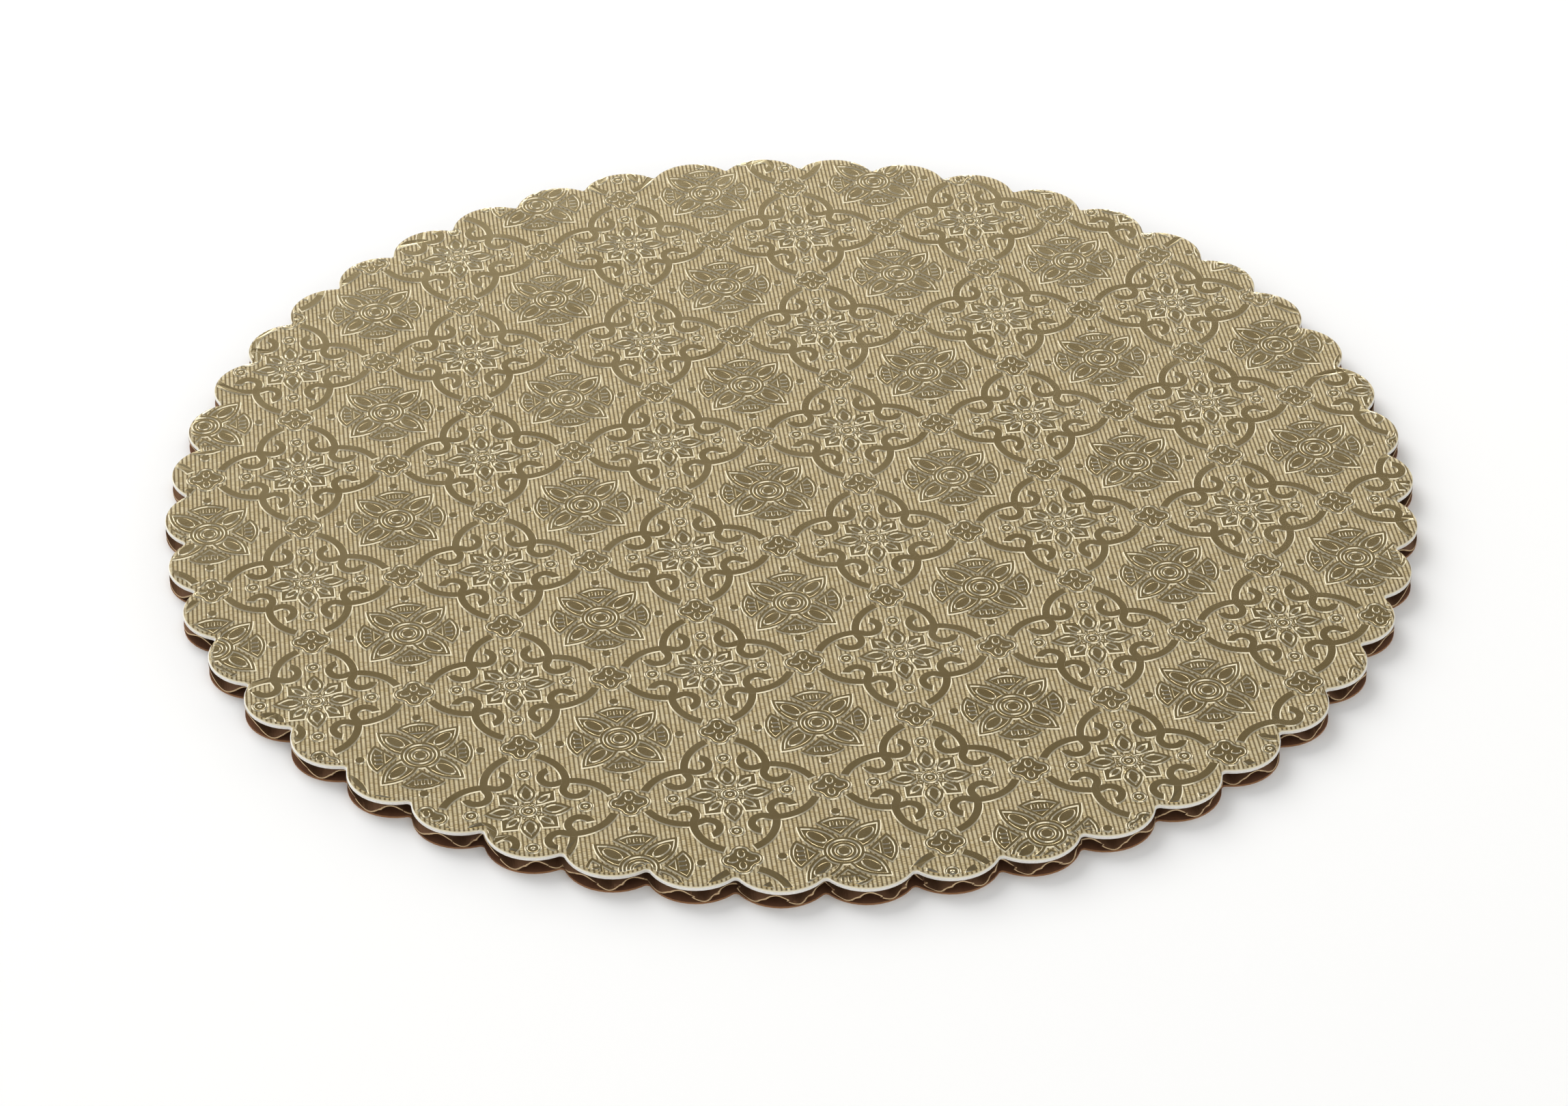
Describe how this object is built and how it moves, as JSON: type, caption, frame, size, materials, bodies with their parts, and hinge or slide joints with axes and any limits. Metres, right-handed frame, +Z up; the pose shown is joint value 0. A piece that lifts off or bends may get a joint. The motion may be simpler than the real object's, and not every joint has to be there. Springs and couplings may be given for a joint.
{
  "type": "scalloped cake board",
  "caption": "Round scalloped corrugated board with a gold embossed foil face that carries and serves a cake.",
  "frame": {"origin": "middle of the underside of the bottom liner", "axes": "+Z up through the gold face, +Y along the flutes, +X across them"},
  "size_m": [0.2285, 0.2284, 0.0039],
  "materials": {
    "gold_foil": "gold metallised film, embossed, mirror bright on the raised lines",
    "adhesive": "thin clear to cream laminating adhesive",
    "white_facing": "white paperboard with a rough die-cut edge",
    "starch_glue": "dried starch glue",
    "kraft_medium": "matte kraft paper",
    "kraft_liner": "matte reddish brown kraft board"
  },
  "bodies": {
    "root": {"gold_foil": "gold_foil", "laminating_adhesive": "adhesive", "white_facing": "white_facing", "upper_glue_lines": "starch_glue", "fluted_medium": "kraft_medium", "lower_glue_lines": "starch_glue", "bottom_liner": "kraft_liner"}
  },
  "joints": []
}
